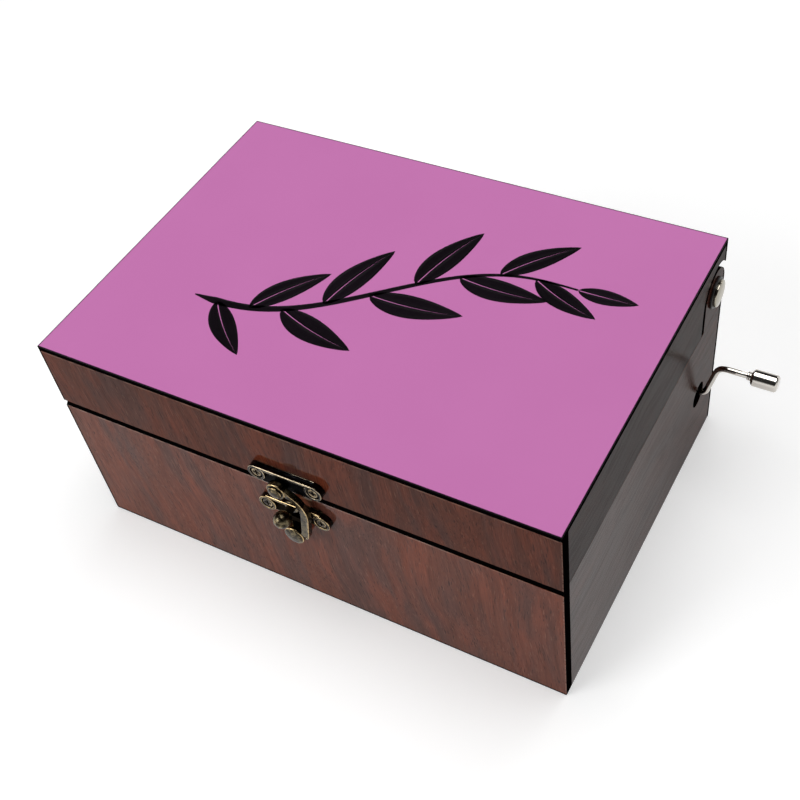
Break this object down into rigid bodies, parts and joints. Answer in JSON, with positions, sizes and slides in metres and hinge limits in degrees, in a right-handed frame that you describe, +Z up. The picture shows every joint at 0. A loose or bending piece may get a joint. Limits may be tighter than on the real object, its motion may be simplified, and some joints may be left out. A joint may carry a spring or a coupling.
{
  "type": "hand cranked music box",
  "caption": "Wooden music box with a hinged lid, a swing catch, a bent hand crank and a pinned-drum movement with a comb inside.",
  "frame": {"origin": "centre of the flat underside, which the box stands on", "axes": "+X towards the crank, -Y towards the catch, +Z up"},
  "size_m": [0.1851, 0.1206, 0.075],
  "materials": {
    "case_wood": "dark red-brown veneer, glossy lacquer, dark edges",
    "floor_wood": "plain board, unpolished",
    "lid_wood": "dark red-brown veneer, glossy lacquer, dark edges",
    "lid_print": "flat pink printed sheet with black ornament, satin",
    "pin_steel": "polished, domed",
    "washer_steel": "dark, satin",
    "catch_bronze": "antique bronze, dark in the hollows, rubbed bright on the edges",
    "catch_screw_bronze": "antique bronze, worn",
    "crank_steel": "polished steel",
    "frame_steel": "zinc plated, satin",
    "movement_brass": "turned brass, satin",
    "shaft_steel": "turned steel",
    "comb_steel": "ground spring steel",
    "comb_iron": "cast, satin",
    "screw_steel": "zinc plated"
  },
  "bodies": {
    "case": {"base_floor_panel": "floor_wood", "base_front_panel": "case_wood", "base_back_panel": "case_wood", "base_left_panel": "case_wood", "base_right_panel": "case_wood", "movement_bedplate": "frame_steel", "rear_bearing_bracket": "frame_steel", "front_bearing_bracket": "frame_steel", "drum_bushes": "movement_brass", "crank_bushes": "movement_brass", "bed_screws": "screw_steel", "bracket_screws": "screw_steel", "comb_screws": "screw_steel", "comb_block": "comb_iron", "tuned_comb": "comb_steel", "catch_base_plate": "catch_bronze", "base_catch_screws": "catch_screw_bronze", "catch_ball_stud": "catch_bronze"},
    "lid": {"lid_front_rail": "lid_wood", "lid_left_rail": "lid_wood", "lid_right_rail": "lid_wood", "lid_spine_rail": "lid_wood", "lid_top_board": "lid_wood", "lid_print_sheet": "lid_print", "hinge_pins": "pin_steel", "hinge_washers": "washer_steel", "catch_lid_plate": "catch_bronze", "lid_catch_screws": "catch_screw_bronze", "catch_hook_rivet": "catch_bronze"},
    "hook": {"catch_hook": "catch_bronze"},
    "crank": {"crank_rod": "crank_steel", "crank_worm": "shaft_steel", "crank_collar": "crank_steel"},
    "knob": {"crank_knob": "crank_steel"},
    "drum": {"pinned_drum": "movement_brass", "drum_end_caps": "movement_brass", "drum_shaft": "shaft_steel", "drum_gear": "movement_brass"}
  },
  "joints": [
    {"name": "lid_hinge", "type": "hinge", "parent": "case", "child": "lid", "pos_m": [0, 0.0486, 0.0608], "axis": [-1, 0, 0], "range_deg": [0, 92]},
    {"name": "hook_swing", "type": "hinge", "parent": "lid", "child": "hook", "pos_m": [-0.0019, -0.059, 0.0539], "axis": [0, -1, 0], "range_deg": [0, 105]},
    {"name": "crank_spin", "type": "hinge", "parent": "case", "child": "crank", "pos_m": [0.06, 0.042, 0.0259], "axis": [1, 0, 0], "continuous": true},
    {"name": "knob_spin", "type": "hinge", "parent": "crank", "child": "knob", "pos_m": [0.099, 0.042, 0.0385], "axis": [1, 0, 0], "continuous": true},
    {"name": "drum_spin", "type": "hinge", "parent": "case", "child": "drum", "pos_m": [0.06, 0.042, 0.0169], "axis": [0, 1, 0], "continuous": true}
  ],
  "couplings": [
    {"joint": "drum_spin", "follows": "crank_spin", "ratio": -0.041667}
  ]
}
